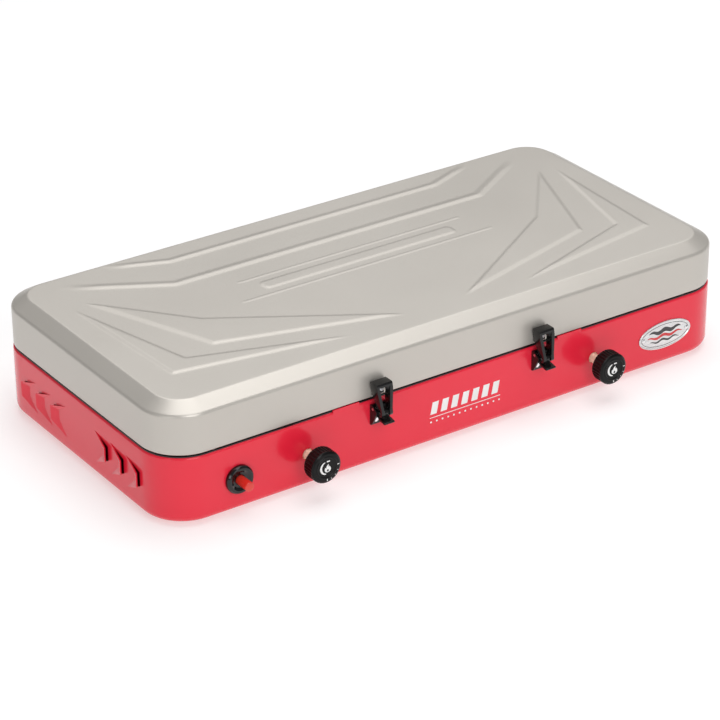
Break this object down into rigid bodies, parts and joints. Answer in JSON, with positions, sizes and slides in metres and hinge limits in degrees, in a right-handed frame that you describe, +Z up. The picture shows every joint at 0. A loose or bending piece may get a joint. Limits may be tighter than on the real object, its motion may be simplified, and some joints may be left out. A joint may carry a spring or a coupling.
{
  "type": "camping stove",
  "caption": "Closed two-burner camping stove: pressed tub with louvred sides, embossed hinged lid, toggle latches, control knobs and push igniter.",
  "frame": {"origin": "on the ground plane under the rubber feet, at the middle of the whole footprint with knobs and hinges", "axes": "+X along the front from the igniter to the gas inlet, +Y from the knobs to the hinges, +Z up through the lid"},
  "size_m": [0.6044, 0.325, 0.1133],
  "materials": {
    "red_paint": "gloss coral-red powder coat",
    "lid_paint": "satin warm silver paint",
    "black_enamel": "black enamel",
    "foot_rubber": "matt moulded rubber",
    "black_plastic": "fine moulded satin",
    "gloss_black": "gloss moulding",
    "red_plastic": "gloss red moulding",
    "cast_alloy": "as-cast alloy",
    "burner_steel": "turned steel",
    "brass": "machined brass",
    "plated_steel": "zinc plated",
    "bright_rivet": "bright rivet heads",
    "nickel_wire": "nickel plated wire",
    "screen_steel": "satin silver paint",
    "badge_metal": "satin silver plate",
    "ceramic": "white glazed ceramic, given as gloss plastic",
    "wire_sleeve": "heat-resistant sleeve"
  },
  "bodies": {
    "base": {"badge_plate": "badge_metal", "badge_rivets": "bright_rivet", "base_shell": "red_paint", "burner_screws": "plated_steel", "drip_tray": "black_enamel", "electrode_insulators": "ceramic", "electrode_tips": "plated_steel", "gas_manifold": "plated_steel", "hinge_base_rivets": "bright_rivet", "hinge_pins": "plated_steel", "igniter_bezel": "gloss_black", "igniter_housing": "gloss_black", "igniter_spring": "plated_steel", "inlet_fitting": "brass", "inlet_lock_nut": "brass", "latch_bracket_rivets": "bright_rivet", "left_burner_body": "cast_alloy", "left_burner_bracket": "plated_steel", "left_burner_cap": "burner_steel", "left_hinge_base_leaf": "plated_steel", "left_igniter_wire": "wire_sleeve", "left_latch_bracket": "black_plastic", "left_latch_lever_pin": "plated_steel", "left_valve_body": "brass", "manifold_clips": "plated_steel", "right_burner_body": "cast_alloy", "right_burner_bracket": "plated_steel", "right_burner_cap": "burner_steel", "right_hinge_base_leaf": "plated_steel", "right_igniter_wire": "wire_sleeve", "right_latch_bracket": "black_plastic", "right_latch_lever_pin": "plated_steel", "right_valve_body": "brass", "rubber_feet": "foot_rubber", "tray_screws": "plated_steel"},
    "lid": {"lid_shell": "lid_paint", "left_hinge_lid_leaf": "plated_steel", "right_hinge_lid_leaf": "plated_steel", "hinge_lid_rivets": "bright_rivet", "left_keeper": "black_plastic", "right_keeper": "black_plastic", "keeper_rivets": "bright_rivet", "left_windscreen_mount": "plated_steel", "right_windscreen_mount": "plated_steel", "left_windscreen_rod": "plated_steel", "right_windscreen_rod": "plated_steel"},
    "left_screen": {"left_windscreen": "screen_steel"},
    "right_screen": {"right_windscreen": "screen_steel"},
    "left_lever": {"left_latch_lever": "black_plastic", "left_draw_arm_pin": "plated_steel"},
    "right_lever": {"right_latch_lever": "black_plastic", "right_draw_arm_pin": "plated_steel"},
    "left_arm": {"left_draw_arm": "black_plastic"},
    "right_arm": {"right_draw_arm": "black_plastic"},
    "left_control": {"left_knob": "black_plastic", "left_valve_spindle": "brass"},
    "right_control": {"right_knob": "black_plastic", "right_valve_spindle": "brass"},
    "spark_button": {"igniter_button": "red_plastic"},
    "grate": {"cooking_grate": "nickel_wire"}
  },
  "joints": [
    {"name": "lid_hinge", "type": "hinge", "parent": "base", "child": "lid", "pos_m": [0, 0.1591, 0.0666], "axis": [-1, 0, 0], "range_deg": [0, 100]},
    {"name": "left_screen_fold", "type": "hinge", "parent": "lid", "child": "left_screen", "pos_m": [-0.284, 0.0105, 0.1014], "axis": [0, 1, 0], "range_deg": [0, 90]},
    {"name": "right_screen_fold", "type": "hinge", "parent": "lid", "child": "right_screen", "pos_m": [0.284, 0.0105, 0.1014], "axis": [0, -1, 0], "range_deg": [0, 90]},
    {"name": "left_latch_lever", "type": "hinge", "parent": "base", "child": "left_lever", "pos_m": [-0.0894, -0.1377, 0.0586], "axis": [-1, 0, 0], "range_deg": [0, 75]},
    {"name": "left_latch_arm", "type": "hinge", "parent": "left_lever", "child": "left_arm", "pos_m": [-0.0894, -0.1449, 0.0572], "axis": [1, 0, 0], "range_deg": [0, 120]},
    {"name": "right_latch_lever", "type": "hinge", "parent": "base", "child": "right_lever", "pos_m": [0.0826, -0.1377, 0.0586], "axis": [-1, 0, 0], "range_deg": [0, 75]},
    {"name": "right_latch_arm", "type": "hinge", "parent": "right_lever", "child": "right_arm", "pos_m": [0.0826, -0.1449, 0.0572], "axis": [1, 0, 0], "range_deg": [0, 120]},
    {"name": "left_knob_turn", "type": "hinge", "parent": "base", "child": "left_control", "pos_m": [-0.1605, -0.1545, 0.034], "axis": [0, 1, 0], "range_deg": [-220, 0]},
    {"name": "right_knob_turn", "type": "hinge", "parent": "base", "child": "right_control", "pos_m": [0.145, -0.1545, 0.034], "axis": [0, 1, 0], "range_deg": [-220, 0]},
    {"name": "igniter_press", "type": "slide", "parent": "base", "child": "spark_button", "axis": [0, 1, 0], "range_m": [0, 0.006], "stiffness_N_per_m": 900, "springref_m": -0.004, "deforming": ["igniter_spring"]},
    {"name": "grate_lift", "type": "slide", "parent": "base", "child": "grate", "axis": [0, 0, 1], "range_m": [0, 0.018]}
  ],
  "couplings": [
    {"joint": "left_screen_fold", "follows": "lid_hinge", "ratio": 0.9},
    {"joint": "right_screen_fold", "follows": "lid_hinge", "ratio": 0.9},
    {"joint": "left_latch_arm", "follows": "left_latch_lever", "ratio": 1.6},
    {"joint": "right_latch_arm", "follows": "right_latch_lever", "ratio": 1.6}
  ]
}
